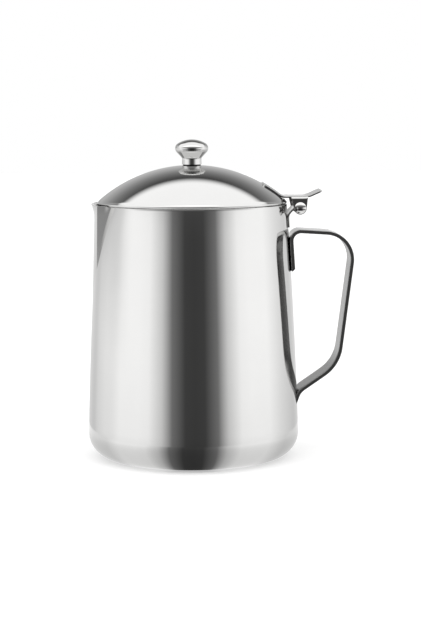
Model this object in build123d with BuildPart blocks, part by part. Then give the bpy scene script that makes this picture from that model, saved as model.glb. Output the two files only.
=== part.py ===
"""Hot milk jug: a drawn steel vessel with a pouring spout, a welded strap handle and a hinged domed lid.

Millimetres. The origin is the centre of the base on the resting plane. +Z is up, the handle and the hinge are
towards +X, the spout towards -X, and the hinge axis runs along Y.
"""

import os
from math import cos, radians, sin, sqrt, tan

from build123d import *

# Vessel
body_height = 144.1
foot_radius = 60.4  # where the wall line would meet the resting plane
rim_radius = 53.65
wall_bulge = 0.8  # how far the wall stands out of a straight taper at mid height
base_corner_radius = 14.5
body_sheet = 0.8
rim_hem_width = 1.6  # the sheet folded in on itself round the mouth
rim_hem_height = 2.4
rim_round = 0.5

# Spout, pressed out of the wall
spout_lip_reach = 3.45  # lip beyond the rim circle
spout_throat_reach = 1.3  # narrowest place, beyond the wall there
spout_throat_drop = 7.5
spout_depth = 55.8  # from the rim down to where it runs out into the wall
spout_fold_depth = 35.5  # from the rim down to where the two folds meet the wall
spout_fold_sink = 0.2  # folds below the wall from there down, so that the panel runs out on it
spout_lip_crown = 3.95  # how far the lip is rounded out of the line between its folds
spout_half_width = 24.4  # half the front panel at the rim
spout_low_half_width = 14.6
spout_root_half_width = 6.5
spout_flank_angle = 13.0  # between each flank and the line through spout and handle

# Handle, one bent strap
strap_width = 22.0
strap_thickness = 2.0
weld_sink = 0.2  # how far a flat weld face is formed to the round wall
handle_top_drop = 15.0  # rim to the middle of the strap over the upper leg
handle_leg_length = 22.9
handle_top_fall = 2.4  # the top run falls away from the wall
handle_top_reach = 37.5  # from the wall to the upper outer corner of the strap's middle line
handle_lower_height = 52.9
handle_lower_reach = 23.7
handle_foot_height = 37.5
handle_foot_stand = 0.7  # middle line of the foot outside the wall, at the bend
handle_foot_end = 30.5
handle_foot_sink = 2.0  # middle line inside the wall at the end, so that the foot runs out on it
handle_leg_bend = 5.2
handle_grip_bend = 15.2
handle_lower_bend = 22.5
handle_foot_bend = 9.0

# Lid
lid_gap = 0.1  # running gap between the lid and the rim
lid_inset = 0.05  # lid edge inside the rim circle
lid_dome_radius = 80.7
lid_edge_round = 5.0
lid_bead_radius = 0.95  # rolled edge
lid_bead_end = 60.0  # angle up round the bead to where the dome's edge meets it
lid_edge_lean = 30.0  # angle of the edge's outward side there
lid_sheet = 0.8
skirt_drop = 3.4
skirt_clearance = 1.3
knob_seat_radius = 6.5  # small flat pressed at the top of the dome

# Hinge
pin_radius = 1.65
pin_reach = 6.85  # pin axis beyond the rim circle
pin_drop = 2.1  # pin axis below the rim
pin_running_clearance = 0.05
pin_hole_clearance = 0.02
pin_head_radius = 3.35
pin_head_height = 1.5
pin_head_edge = 0.6
bracket_sheet = 1.1
bracket_slant = 50.0
bracket_leg_drop = 13.1
bracket_side_clearance = 0.6

# Lever on the lid
lever_width = 25.0
lever_sheet = 0.8
lever_plate_rise = 3.7  # underside of the flat, above the rim
lever_dome_length = 13.7  # from the lid edge in over the dome
ear_half_width = 4.4
ear_round = 3.65
thumb_start = 4.5  # from the pin axis out to the thumb press bend
thumb_length = 7.8
thumb_rise = 3.4
thumb_bend = 10.0
thumb_corner = 1.5

# Knob and its screw
knob_height = 14.6
knob_head_radius = 10.45  # before its edge is rounded
knob_head_rise = 10.4  # from the lid up to the widest place
knob_stem_radius = 5.5
knob_stem_height = 4.2
knob_edge_round = 2.6
screw_radius = 2.0
screw_engagement = 8.0
screw_tip_clearance = 1.0
screw_head_radius = 3.8
screw_head_height = 2.4
screw_slot_width = 0.9
screw_slot_depth = 1.1
thread_clearance = 0.03
lid_hole_clearance = 0.2
washer_radius = 5.4
washer_thickness = 0.8

# Heights and places that follow from the sizes above
spare = 1.0  # how far cutting shapes run past what they cut
spout_root_height = body_height - spout_depth
spout_fold_height = body_height - spout_fold_depth
spout_throat_height = body_height - spout_throat_drop
spout_lip_radius = rim_radius + spout_lip_reach
lid_base_height = body_height + lid_gap
lid_radius = rim_radius - lid_inset
bead_centre = Vector(lid_radius - lid_bead_radius, lid_base_height + lid_bead_radius)
bead_end = bead_centre + Vector(lid_bead_radius, 0).rotate(Axis.Z, lid_bead_end)
edge_centre = bead_end - Vector(lid_edge_round, 0).rotate(Axis.Z, lid_edge_lean)
dome_centre_height = edge_centre.Y - sqrt((lid_dome_radius - lid_edge_round) ** 2 - edge_centre.X**2)
skirt_radius = rim_radius - rim_hem_width - skirt_clearance
pin_x = rim_radius + pin_reach
pin_z = body_height - pin_drop
knuckle_bore = pin_radius + pin_running_clearance
knuckle_radius = knuckle_bore + bracket_sheet
ear_gap = lever_width - 2 * lever_sheet
bracket_width = ear_gap - 2 * bracket_side_clearance
plate_height = body_height + lever_plate_rise

os.makedirs("parts", exist_ok=True)


def wall_radius(height):
    """Outer radius of the vessel wall at a height."""
    share = height / body_height
    return foot_radius + (rim_radius - foot_radius) * share + 4 * wall_bulge * share * (1 - share)


def dome_height(radius, sphere):
    """Height on a sphere about the centre of the dome, at a distance from the axis."""
    return dome_centre_height + sqrt(sphere**2 - radius**2)


def wall_form(inset):
    """The turned shape of the vessel, set in by a thickness and run past the rim."""
    top = body_height + spare
    middle = (inset + top) / 2
    with BuildPart() as form:
        with BuildSketch(Plane.YZ) as profile:
            with BuildLine():
                floor = Line((0, inset), (wall_radius(inset) - inset, inset))
                wall = ThreePointArc(
                    floor @ 1,
                    (wall_radius(middle) - inset, middle),
                    (wall_radius(top) - inset, top),
                )
                Polyline(wall @ 1, (0, top), (0, inset))
            make_face()
            fillet(profile.vertices().sort_by(Axis.X)[-1], base_corner_radius - inset)
        revolve(axis=Axis.Z)
    return form.part


def spout_nose(height):
    """Distance of the spout's front line from the axis: straight up to the throat, then flared."""
    root = wall_radius(spout_root_height)
    throat = wall_radius(spout_throat_height) + spout_throat_reach
    slope = (throat - root) / (spout_throat_height - spout_root_height)
    flare = spout_lip_radius - throat - slope * spout_throat_drop
    flare_share = max(height - spout_throat_height, 0) / spout_throat_drop
    return root + slope * (height - spout_root_height) + flare * flare_share**2


def fold_on_wall(half_width, height):
    """Distance along the spout's line to a fold that lies just below the wall."""
    return sqrt(wall_radius(height) ** 2 - half_width**2) - spout_fold_sink


def spout_fold(height):
    """Half width of the spout's front panel at a height, and how far its folds reach."""
    if height < spout_fold_height:
        share = (height - spout_root_height) / (spout_fold_height - spout_root_height)
        half_width = spout_root_half_width + (spout_low_half_width - spout_root_half_width) * share
        return half_width, fold_on_wall(half_width, height)
    share = (height - spout_fold_height) / spout_fold_depth
    low_reach = fold_on_wall(spout_low_half_width, spout_fold_height)
    lip_reach = spout_lip_radius - spout_lip_crown
    half_width = spout_low_half_width + (spout_half_width - spout_low_half_width) * share
    return half_width, low_reach + (lip_reach - low_reach) * share


def spout_form(inset):
    """The spout's front panel and flanks, set in by a thickness."""
    flank_slope = tan(radians(spout_flank_angle))
    inner_x = -rim_radius / 2
    flare_middle = (spout_throat_height + body_height) / 2
    heights = (
        spout_root_height - spare,
        spout_fold_height,
        spout_throat_height,
        flare_middle,
        body_height + spare,
    )
    with BuildPart() as form:
        for height in heights:
            half_width, reach = spout_fold(height)
            fold_x = inset - reach
            fold_y = half_width - inset
            inner_y = fold_y + (inner_x - fold_x) * flank_slope
            with BuildSketch(Plane.XY.offset(height)):
                with BuildLine():
                    panel = ThreePointArc(
                        (fold_x, -fold_y),
                        (inset - spout_nose(height), 0),
                        (fold_x, fold_y),
                    )
                    Polyline(panel @ 1, (inner_x, inner_y), (inner_x, -inner_y), panel @ 0)
                make_face()
        loft(ruled=True)
    return form.part


outer_wall = wall_form(0)
outer_spout = spout_form(0)
inner_wall = wall_form(body_sheet)
inner_spout = spout_form(body_sheet)
mouth_wall = wall_form(rim_hem_width)
mouth_spout = spout_form(rim_hem_width)

# Inside of the vessel below the hem
with BuildPart() as inside:
    add(inner_wall)
    add(inner_spout)
    split(bisect_by=Plane.XY.offset(body_height - rim_hem_height), keep=Keep.BOTTOM)

# Vessel
with BuildPart() as jug_body:
    add(outer_wall)
    add(outer_spout)
    split(bisect_by=Plane.XY.offset(body_height), keep=Keep.BOTTOM)
    add(inside.part, mode=Mode.SUBTRACT)
    add(mouth_wall, mode=Mode.SUBTRACT)
    add(mouth_spout, mode=Mode.SUBTRACT)
    rim_edges = faces().sort_by(Axis.Z)[-1].edges()
    fillet(rim_edges, rim_round)
jug_body.part.label = "jug_body"
export_step(jug_body.part, "parts/jug_body.step")

# Handle
leg_top = body_height - handle_top_drop
leg_bottom = leg_top - handle_leg_length
leg_offset = strap_thickness / 2 - weld_sink
with BuildPart() as handle:
    with BuildSketch(Plane.XZ):
        with BuildLine():
            FilletPolyline(
                (wall_radius(leg_bottom) + leg_offset, leg_bottom),
                (wall_radius(leg_top) + leg_offset, leg_top),
                (wall_radius(leg_top) + handle_top_reach, leg_top - handle_top_fall),
                (wall_radius(handle_lower_height) + handle_lower_reach, handle_lower_height),
                (wall_radius(handle_foot_height) + handle_foot_stand, handle_foot_height),
                (wall_radius(handle_foot_end) - handle_foot_sink, handle_foot_end),
                radius=(handle_leg_bend, handle_grip_bend, handle_lower_bend, handle_foot_bend),
            )
        trace(line_width=strap_thickness)
    extrude(amount=strap_width / 2, both=True)
    add(outer_wall, mode=Mode.SUBTRACT)
handle.part.label = "handle"
export_step(handle.part, "parts/handle.step")

# Leg of the hinge bracket, formed to the wall
pin_point = Vector(pin_x, pin_z)
arm_along = Vector(cos(radians(bracket_slant)), sin(radians(bracket_slant)))
arm_across = Vector(-arm_along.Y, arm_along.X)
arm_under = pin_point + arm_across * knuckle_bore
arm_over = pin_point + arm_across * knuckle_radius
arm_run = arm_under.X - wall_radius(pin_z) - bracket_sheet
leg_head = arm_under.Y - arm_run * tan(radians(bracket_slant))
leg_foot = body_height - bracket_leg_drop
with BuildPart() as bracket_leg:
    with BuildSketch(Plane.XZ):
        with BuildLine():
            Polyline(
                (wall_radius(leg_foot) - spare, leg_foot),
                (wall_radius(leg_foot) + bracket_sheet, leg_foot),
                (wall_radius(leg_head) + bracket_sheet, leg_head),
                (wall_radius(leg_head) - spare, leg_head),
                close=True,
            )
        make_face()
    revolve(axis=Axis.Z)
    with BuildSketch(Plane.XY):
        Rectangle(pin_x, bracket_width, align=(Align.MIN, Align.CENTER))
    extrude(amount=body_height, mode=Mode.INTERSECT)

# Hinge bracket: slanted arm and rolled knuckle
arm_length = (pin_reach + bracket_width / 4) / arm_along.X
with BuildPart() as hinge_bracket:
    with BuildSketch(Plane.XZ):
        with BuildLine():
            Polyline(
                arm_under,
                arm_over,
                arm_over - arm_along * arm_length,
                arm_under - arm_along * arm_length,
                close=True,
            )
        make_face()
        with Locations(pin_point):
            Circle(knuckle_radius)
            Circle(knuckle_bore, mode=Mode.SUBTRACT)
    extrude(amount=bracket_width / 2, both=True)
    add(bracket_leg.part)
    add(outer_wall, mode=Mode.SUBTRACT)
hinge_bracket.part.label = "hinge_bracket"
export_step(hinge_bracket.part, "parts/hinge_bracket.step")

# Lid
dome_centre = Vector(0, dome_centre_height)
dome_start = dome_centre + (edge_centre - dome_centre).normalized() * lid_dome_radius
seat_height = dome_height(knob_seat_radius, lid_dome_radius)
skirt_inner = skirt_radius - lid_sheet
inner_dome_radius = lid_dome_radius - lid_sheet
screw_hole_radius = screw_radius + lid_hole_clearance
with BuildPart() as lid:
    with BuildSketch(Plane.XZ):
        with BuildLine():
            skirt_low = body_height - skirt_drop
            outer_skirt = Polyline(
                (skirt_inner, skirt_low),
                (skirt_radius, skirt_low),
                (skirt_radius, lid_base_height),
                (bead_centre.X, lid_base_height),
            )
            bead = TangentArc(outer_skirt @ 1, bead_end, tangent=(1, 0))
            edge = TangentArc(bead @ 1, dome_start, tangent=Vector(0, 1).rotate(Axis.Z, lid_edge_lean))
            dome = TangentArc(edge @ 1, (knob_seat_radius, seat_height), tangent=edge % 1)
            under_seat = seat_height - lid_sheet
            seat = Polyline(
                dome @ 1,
                (screw_hole_radius, seat_height),
                (screw_hole_radius, under_seat),
                (knob_seat_radius, under_seat),
            )
            half_way = (knob_seat_radius + skirt_inner) / 2
            inner_dome = ThreePointArc(
                seat @ 1,
                (half_way, dome_height(half_way, inner_dome_radius)),
                (skirt_inner, dome_height(skirt_inner, inner_dome_radius)),
            )
            Line(inner_dome @ 1, outer_skirt @ 0)
        make_face()
    revolve(axis=Axis.Z)
lid.part.label = "lid"
export_step(lid.part, "parts/lid.step")

# Strap of the lever, formed to the dome
lever_start = lid_radius - lever_dome_length
with BuildPart() as dome_strap:
    with Locations((0, 0, dome_centre_height)):
        Sphere(lid_dome_radius + lever_sheet)
    with BuildSketch(Plane.XY.offset(plate_height)):
        with Locations((lever_start, 0)):
            Rectangle(pin_x - lever_start, lever_width, align=(Align.MIN, Align.CENTER))
    extrude(amount=lid_dome_radius, mode=Mode.INTERSECT)

# Lever: dome strap, flat over the hinge, two ears and the thumb press
plate_middle = plate_height + lever_sheet / 2
thumb_x = pin_x + thumb_start
with BuildPart() as lid_lever:
    with BuildSketch(Plane.XZ):
        with BuildLine():
            Polyline(
                (pin_x - ear_half_width, plate_middle),
                (pin_x + ear_half_width, plate_middle),
                (pin_x + ear_round, pin_z),
                (pin_x - ear_round, pin_z),
                close=True,
            )
        make_face()
        with Locations(pin_point):
            Circle(ear_round)
    extrude(amount=lever_width / 2, both=True)
    with BuildSketch(Plane.XZ):
        with Locations(pin_point):
            Circle(pin_radius + pin_hole_clearance)
    extrude(amount=lever_width, both=True, mode=Mode.SUBTRACT)
    with Locations((pin_x, 0, plate_height)):
        Box(
            4 * ear_half_width,
            ear_gap,
            2 * (pin_drop + lever_plate_rise + ear_round),
            mode=Mode.SUBTRACT,
        )
    with BuildSketch(Plane.XZ):
        with BuildLine():
            FilletPolyline(
                (lever_start, plate_middle),
                (thumb_x, plate_middle),
                (thumb_x + thumb_length, plate_middle + thumb_rise),
                radius=thumb_bend,
            )
        trace(line_width=lever_sheet)
    extrude(amount=lever_width / 2, both=True)
    thumb_end = faces().sort_by(Axis.X)[-1]
    fillet(thumb_end.edges().filter_by(Axis.Y, reverse=True), thumb_corner)
    add(dome_strap.part)
    with Locations((0, 0, dome_centre_height)):
        Sphere(lid_dome_radius, mode=Mode.SUBTRACT)
lid_lever.part.label = "lid_lever"
export_step(lid_lever.part, "parts/lid_lever.step")

# Hinge pin, a rivet with a head at both ends
head_seat = lever_width / 2
head_edge = head_seat + pin_head_edge
head_top = head_seat + pin_head_height
with BuildPart() as hinge_pin:
    with BuildSketch(Plane((pin_x, 0, pin_z))):
        with BuildLine():
            near_head = TangentArc((0, -head_top), (pin_head_radius, -head_edge), tangent=(1, 0))
            far_head = TangentArc((0, head_top), (pin_head_radius, head_edge), tangent=(1, 0))
            Polyline(
                near_head @ 1,
                (pin_head_radius, -head_seat),
                (pin_radius, -head_seat),
                (pin_radius, head_seat),
                (pin_head_radius, head_seat),
                far_head @ 1,
            )
            Line(near_head @ 0, far_head @ 0)
        make_face()
    revolve(axis=Axis((pin_x, 0, pin_z), (0, 1, 0)))
hinge_pin.part.label = "hinge_pin"
export_step(hinge_pin.part, "parts/hinge_pin.step")

# Knob
knob_top = seat_height + knob_height
with BuildPart() as knob:
    with BuildSketch(Plane.XZ) as knob_profile:
        with BuildLine():
            crown = TangentArc(
                (0, knob_top),
                (knob_head_radius, seat_height + knob_head_rise),
                tangent=(1, 0),
            )
            Polyline(
                crown @ 1,
                (knob_stem_radius, seat_height + knob_stem_height),
                (knob_stem_radius, seat_height),
                (0, seat_height),
                crown @ 0,
            )
        make_face()
        fillet(knob_profile.vertices().sort_by(Axis.X)[-1], knob_edge_round)
    revolve(axis=Axis.Z)
    with BuildSketch(Plane.XY.offset(seat_height)):
        Circle(screw_radius + thread_clearance)
    extrude(amount=screw_engagement + screw_tip_clearance, mode=Mode.SUBTRACT)
knob.part.label = "knob"
export_step(knob.part, "parts/knob.step")

# Washer inside the lid
with BuildPart() as screw_washer:
    with BuildSketch(Plane.XY.offset(under_seat)):
        Circle(washer_radius)
        Circle(screw_hole_radius, mode=Mode.SUBTRACT)
    extrude(amount=-washer_thickness)
screw_washer.part.label = "screw_washer"
export_step(screw_washer.part, "parts/screw_washer.step")

# Screw that holds the knob
screw_seat = under_seat - washer_thickness
with BuildPart() as knob_screw:
    with BuildSketch(Plane.XY.offset(screw_seat)):
        Circle(screw_head_radius)
    extrude(amount=-screw_head_height)
    with BuildSketch(Plane.XY.offset(screw_seat)):
        Circle(screw_radius)
    extrude(amount=seat_height - screw_seat + screw_engagement)
    with BuildSketch(Plane.XY.offset(screw_seat - screw_head_height)):
        Rectangle(3 * screw_head_radius, screw_slot_width)
    extrude(amount=screw_slot_depth, mode=Mode.SUBTRACT)
knob_screw.part.label = "knob_screw"
export_step(knob_screw.part, "parts/knob_screw.step")
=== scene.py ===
from math import atan, atan2, cos, degrees, hypot, pi, radians, sin, sqrt, tan

import bmesh
import bpy
from mathutils import Matrix, Vector


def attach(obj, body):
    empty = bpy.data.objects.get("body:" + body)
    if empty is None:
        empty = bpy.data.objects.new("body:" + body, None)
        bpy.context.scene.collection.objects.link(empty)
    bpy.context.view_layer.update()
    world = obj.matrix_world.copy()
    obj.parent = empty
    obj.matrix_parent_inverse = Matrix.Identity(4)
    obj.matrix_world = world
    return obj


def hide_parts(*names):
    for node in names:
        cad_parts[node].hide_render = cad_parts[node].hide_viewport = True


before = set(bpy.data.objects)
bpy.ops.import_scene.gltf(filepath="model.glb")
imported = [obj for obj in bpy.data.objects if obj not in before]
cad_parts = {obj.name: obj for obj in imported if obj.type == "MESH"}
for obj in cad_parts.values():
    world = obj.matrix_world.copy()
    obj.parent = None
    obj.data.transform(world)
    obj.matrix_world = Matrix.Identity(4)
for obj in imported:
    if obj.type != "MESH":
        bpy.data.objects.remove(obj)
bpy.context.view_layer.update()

MM = 0.001

# Vessel; sizes are in millimetres and angles in degrees unless a heading says otherwise
body_height = 144.1
foot_radius = 60.4
rim_radius = 53.65
wall_bulge = 0.8
base_corner_radius = 14.5
body_sheet = 0.8
rim_hem_width = 1.6
rim_hem_height = 2.4
rim_round_width = 0.15
rim_round_height = 0.2
rim_inner_round = 0.4
hem_under_row = 0.4

# Spout
spout_lip_reach = 3.45
spout_throat_reach = 1.3
spout_throat_drop = 7.5
spout_depth = 55.8
spout_lip_crown = 3.95
spout_fold_depth = 35.5
spout_half_width = 24.4
spout_low_half_width = 14.6
spout_root_half_width = 6.5
spout_flank_angle = 13.0
spout_crease_dip = 1.3
spout_crease_turn = 22.0
spout_lip_rise = 0.6
spout_lip_zone = 3.0
spout_lip_margin = 0.1
spout_lip_run = 0.8

# Handle strap
strap_width = 22.0
strap_thickness = 2.0
strap_edge_round = 0.18
weld_sink = 0.2
foot_weld_sink = 0.15
handle_top_drop = 15.0
handle_leg_length = 22.9
handle_top_fall = 2.4
handle_top_reach = 37.5
handle_lower_height = 52.9
handle_lower_reach = 23.7
handle_foot_height = 37.5
handle_foot_stand = 0.7
handle_foot_end = 30.5
handle_foot_sink = 2.0
handle_leg_bend = 5.2
handle_grip_bend = 15.2
handle_lower_bend = 22.5
handle_foot_bend = 9.0
leg_end_round = 1.6
strap_step = 1.3

# Lid
lid_gap = 0.04
lid_inset = 0.05
lid_dome_radius = 80.7
lid_edge_round = 5.0
lid_bead_radius = 0.95
lid_bead_end = 60.0
lid_edge_lean = 30.0
lid_sheet = 0.8
skirt_drop = 3.4
skirt_clearance = 1.3
knob_seat_radius = 6.5
screw_hole_radius = 2.2

# Hinge
pin_radius = 1.65
pin_reach = 6.85
pin_drop = 2.1
pin_head_radius = 3.35
pin_head_edge = 0.3
pin_head_slope = 35.0
pin_head_round = 0.4
pin_head_under_round = 0.15
bracket_sheet = 1.1
bracket_slant = 50.0
bracket_leg_drop = 13.1
bracket_width = 21.8
knuckle_bore = 1.7
bracket_bend = 2.0
bracket_edge = 0.18
knuckle_end = -188.0

# Lever
lever_width = 25.0
lever_sheet = 0.75
lever_plate_rise = 3.7
lever_dome_length = 13.7
lever_dome_bend = 1.6
ear_half_width = 4.4
ear_front_reach = 0.7
ear_round = 3.65
ear_bend = 1.6
ear_slit = 0.25
thumb_start = 4.5
thumb_length = 7.8
thumb_rise = 3.4
thumb_bend = 10.0
lever_corner = 1.5
lever_edge = 0.2

# Knob, washer and screw
knob_height = 14.6
knob_radius = 9.4
knob_edge_round = 3.3
knob_edge_drop = 5.0
knob_stem_radius = 5.5
knob_foot_radius = 5.6
knob_stem_height = 4.2
knob_neck_round = 0.7
knob_groove_height = 0.5
knob_groove_depth = 0.5
knob_groove_slope = 0.1
knob_neck_low = (0.06, -0.2)
knob_neck_middle = (0.2, 0.12)
washer_radius = 5.4
washer_thickness = 0.8
washer_edge_round = 0.15
screw_radius = 2.0
screw_engagement = 8.0
screw_head_radius = 3.8
screw_head_height = 2.4
screw_head_round = 1.1
screw_slot_width = 0.9
screw_slot_depth = 1.1
screw_tip_chamfer = 0.4

# Fineness of the meshes; the merge distances are in metres, and no profile has as many rows as no_shaded_rows
vessel_segments = 640
lid_segments = 512
knob_segments = 192
fixing_segments = 96
rivet_segments = 72
spout_panel_share = 0.1875
spout_flank_share = 0.03125
strap_bend_steps = 24
strap_edge_steps = 3
strap_side_cuts = 5
same_point = 1e-6
merge_distance = 1e-6
sheet_merge_distance = 1e-7
no_shaded_rows = 1000

# Angles past which an edge stays sharp or is softened
sheet_crease = 26.0
screw_crease = 30.0
fitting_crease = 40.0
strap_crease = 50.0
soften_angle = 50.0

# Finish of the steel: pattern scales per metre, then shares, then the strength and depth of the lines
round_line_stretch = 45.0
round_line_density = 1700.0
strap_line_stretch = 60.0
strap_line_density = 1900.0
cloud_scale = 55.0
wipe_scale = 260.0
cloud_share = 0.6
darker_share = 0.94
cloud_roughness = 0.02
wipe_roughness = 0.015
line_roughness = 0.025
inside_roughness = 0.16
line_strength = 0.25
line_depth = 0.01

# Places that follow from the sizes
lid_base_height = body_height + lid_gap
lid_radius = rim_radius - lid_inset
bead_centre = (lid_radius - lid_bead_radius, lid_base_height + lid_bead_radius)
bead_top = (
    bead_centre[0] + lid_bead_radius * cos(radians(lid_bead_end)),
    bead_centre[1] + lid_bead_radius * sin(radians(lid_bead_end)),
)
edge_centre = (
    bead_top[0] - lid_edge_round * cos(radians(lid_edge_lean)),
    bead_top[1] - lid_edge_round * sin(radians(lid_edge_lean)),
)
dome_centre_height = edge_centre[1] - sqrt((lid_dome_radius - lid_edge_round) ** 2 - edge_centre[0] ** 2)
skirt_radius = rim_radius - rim_hem_width - skirt_clearance
pin_x = rim_radius + pin_reach
pin_z = body_height - pin_drop
plate_top = body_height + lever_plate_rise + lever_sheet


class Signal:
    """A node's output that takes part in Python sums; each operator adds a Math node."""

    def __init__(self, wires, socket):
        self.wires = wires
        self.socket = socket

    def math(self, operation, *others):
        sockets = dict(enumerate((self, *others)))
        return self.wires.add("ShaderNodeMath", {"operation": operation}, sockets)

    def pick(self, name):
        """Another output of the same node."""
        return Signal(self.wires, self.socket.node.outputs[name])

    def __add__(self, other):
        return self.math("ADD", other)

    def __radd__(self, other):
        return self.math("ADD", other)

    def __sub__(self, other):
        return self.math("SUBTRACT", other)

    def __rsub__(self, other):
        return self.wires.add("ShaderNodeMath", {"operation": "SUBTRACT"}, {0: other, 1: self})

    def __mul__(self, other):
        return self.math("MULTIPLY", other)

    def __rmul__(self, other):
        return self.math("MULTIPLY", other)

    def __truediv__(self, other):
        return self.math("DIVIDE", other)

    def __pow__(self, other):
        return self.math("POWER", other)

    def __neg__(self):
        return self.math("MULTIPLY", -1.0)


class Wiring:
    """Adds nodes to one tree."""

    def __init__(self, tree):
        self.tree = tree

    def add(self, kind, settings, sockets, output=0):
        """One node: its settings first, then the values or links of its sockets."""
        node = self.tree.nodes.new(kind)
        for name, value in settings.items():
            if name == "stops":
                ramp = node.color_ramp
                while len(ramp.elements) < len(value):
                    ramp.elements.new(0.5)
                for element, (position, level) in zip(ramp.elements, value):
                    element.position = position
                    element.color = (level, level, level, 1.0)
            else:
                setattr(node, name, value)
        for key, value in sockets.items():
            if isinstance(value, Signal):
                self.tree.links.new(value.socket, node.inputs[key])
            else:
                node.inputs[key].default_value = value
        if node.outputs:
            return Signal(self, node.outputs[output])
        return node


def new_paint(name):
    """An empty material and the wiring of its nodes."""
    paint = bpy.data.materials.new(name)
    paint.use_nodes = True
    paint.node_tree.nodes.clear()
    return paint, Wiring(paint.node_tree)


def put_in_scene(name, data):
    thing = bpy.data.objects.new(name, data)
    bpy.context.scene.collection.objects.link(thing)
    return thing


def noise(wires, place, scale, detail, roughness):
    sockets = {"Vector": place, "Scale": scale, "Detail": detail, "Roughness": roughness}
    return wires.add("ShaderNodeTexNoise", {"noise_dimensions": "3D"}, sockets)


def blend_colours(wires, share, first, second):
    return wires.add("ShaderNodeMix", {"data_type": "RGBA"}, {0: share, 6: first, 7: second}, 2)


def steel(name, lines, haze, tone, inner_shade_share):
    """Polished stainless steel whose polishing lines run round the axis, or along a strap.

    Faces marked as inside are rougher, and their colour keeps only a share of the tone: painted shade.
    """
    finish, wires = new_paint(name)
    place = wires.add("ShaderNodeTexCoord", {}, {}, "Object")
    spot = wires.add("ShaderNodeSeparateXYZ", {}, {0: place})
    x, y, z = spot.pick("X"), spot.pick("Y"), spot.pick("Z")
    if lines == "round":
        across = z - (x * x + y * y) ** 0.5
        spread_out = {0: x * round_line_stretch, 1: y * round_line_stretch, 2: across * round_line_density}
    else:
        spread_out = {0: x * strap_line_stretch, 1: y * strap_line_density, 2: z * strap_line_stretch}
    lay = wires.add("ShaderNodeCombineXYZ", {}, spread_out)
    polish = noise(wires, lay, 1.0, 3.0, 0.6)
    cloud = noise(wires, place, cloud_scale, 2.0, 0.5)
    wipe = noise(wires, place, wipe_scale, 4.0, 0.5)
    darker = (*(darker_share * part for part in tone), 1.0)
    patches = cloud * cloud_share + polish * (1.0 - cloud_share)
    colour = blend_colours(wires, patches, darker, (*tone, 1.0))
    # Painted shade: the colour of faces marked as inside falls to a share of the tone
    inside = wires.add("ShaderNodeAttribute", {"attribute_name": "inside"}, {}, "Fac")
    painted_shade_colour = (*(inner_shade_share * part for part in tone), 1.0)
    colour = blend_colours(wires, inside, colour, painted_shade_colour)
    grain = cloud * cloud_roughness + wipe * wipe_roughness + polish * line_roughness
    roughness = haze + grain + inside * inside_roughness
    relief = {"Strength": line_strength, "Distance": line_depth * MM, "Height": polish}
    bump = wires.add("ShaderNodeBump", {}, relief)
    shader = wires.add(
        "ShaderNodeBsdfPrincipled",
        {},
        {"Base Color": colour, "Metallic": 1.0, "Roughness": roughness, "Normal": bump},
    )
    wires.add("ShaderNodeOutputMaterial", {}, {"Surface": shader})
    return finish


# The last number is the share of the tone kept on faces marked as inside, as painted shade
vessel_steel = steel("vessel_steel", "round", 0.03, (0.61, 0.608, 0.603), 0.9)
spun_steel = steel("spun_steel", "round", 0.03, (0.61, 0.608, 0.603), 0.9)
strap_steel = steel("strap_steel", "along", 0.06, (0.56, 0.558, 0.553), 0.5)
turned_steel = steel("turned_steel", "round", 0.02, (0.60, 0.598, 0.593), 0.05)
plain_steel = steel("plain_steel", "round", 0.16, (0.50, 0.497, 0.49), 0.9)


def taper(height, foot, rim, bulge, full):
    """Radius of the vessel wall at a height, for numbers and for signals alike."""
    share = height / full
    return foot + (rim - foot) * share + 4.0 * bulge * share * (1.0 - share)


def wall_radius(height):
    return taper(height, foot_radius, rim_radius, wall_bulge, body_height)


def dome_height(radius, sphere):
    return dome_centre_height + sqrt(sphere**2 - radius**2)


def spread(start, end, steps):
    """Evenly spaced values, both ends included."""
    return [start + (end - start) * (step / steps) for step in range(steps + 1)]


def run(start, end, steps):
    """Points on a straight line, both ends included."""
    return list(zip(spread(start[0], end[0], steps), spread(start[1], end[1], steps)))


def arc(centre, radius, start, end, steps):
    """Points on an arc between two angles in degrees, both ends included."""
    points = []
    for angle in spread(start, end, steps):
        turn = radians(angle)
        points.append((centre[0] + radius * cos(turn), centre[1] + radius * sin(turn)))
    return points


def chain(*parts):
    """Joins runs of points and leaves out a point that repeats the one before."""
    points = []
    for part in parts:
        for point in part:
            if not points or hypot(point[0] - points[-1][0], point[1] - points[-1][1]) > same_point:
                points.append(point)
    return points


def ramp_between(share, start, end):
    """0 before the start, 1 after the end, straight in between."""
    return share.wires.add("ShaderNodeMapRange", {}, {0: share, 1: start, 2: end, 3: 0.0, 4: 1.0})


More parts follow.
